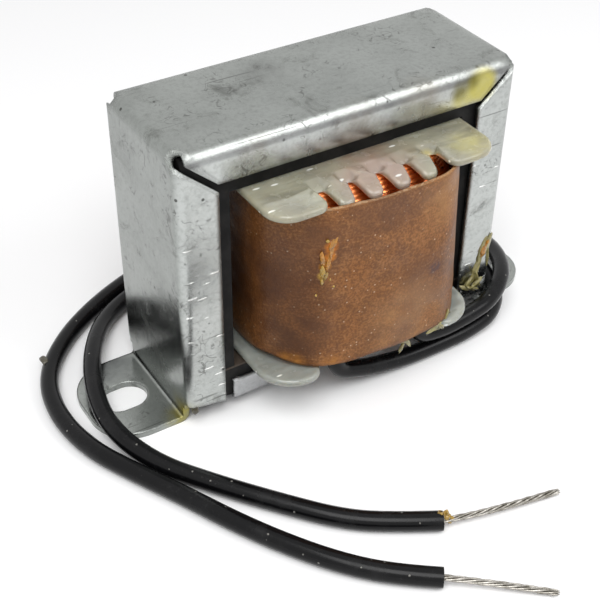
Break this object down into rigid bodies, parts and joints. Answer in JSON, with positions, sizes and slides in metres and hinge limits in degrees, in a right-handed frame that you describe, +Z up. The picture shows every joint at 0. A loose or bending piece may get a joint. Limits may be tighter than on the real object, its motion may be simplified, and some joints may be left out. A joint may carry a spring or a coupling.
{
  "type": "power choke",
  "caption": "Open-frame power choke: paper-wrapped bobbin coil on a laminated core, held in a folded channel bracket with slotted feet and loose stripped leads.",
  "frame": {"origin": "on the mounting plane under the feet, midway between them and midway through the core", "axes": "+X along the line of the mounting slots, +Y from the front of the coil to its back, +Z up from the mounting plane"},
  "size_m": [0.076, 0.0833, 0.0415],
  "materials": {
    "zinc_plated_steel": "satin zinc plate with fine scratches",
    "keeper_steel": "satin zinc plate",
    "lamination_steel": "dark oxide and varnish",
    "gap_paper": "matt",
    "natural_nylon": "milky, slightly glossy",
    "enamelled_copper": "enamelled wire",
    "kraft_paper": "varnish-soaked kraft paper",
    "sleeve": "varnished sleeve",
    "lead_insulation": "satin black",
    "tinned_copper": "tinned twisted strands"
  },
  "bodies": {
    "root": {"channel_bracket": "zinc_plated_steel", "keeper_channel": "keeper_steel", "e_lamination_stack": "lamination_steel", "i_lamination_stack": "lamination_steel", "gap_spacer": "gap_paper", "bobbin": "natural_nylon", "copper_winding": "enamelled_copper", "paper_wrap": "kraft_paper", "start_splice": "sleeve", "finish_splice": "sleeve", "start_lead": "lead_insulation", "finish_lead": "lead_insulation", "start_strands": "tinned_copper", "finish_strands": "tinned_copper"}
  },
  "joints": []
}
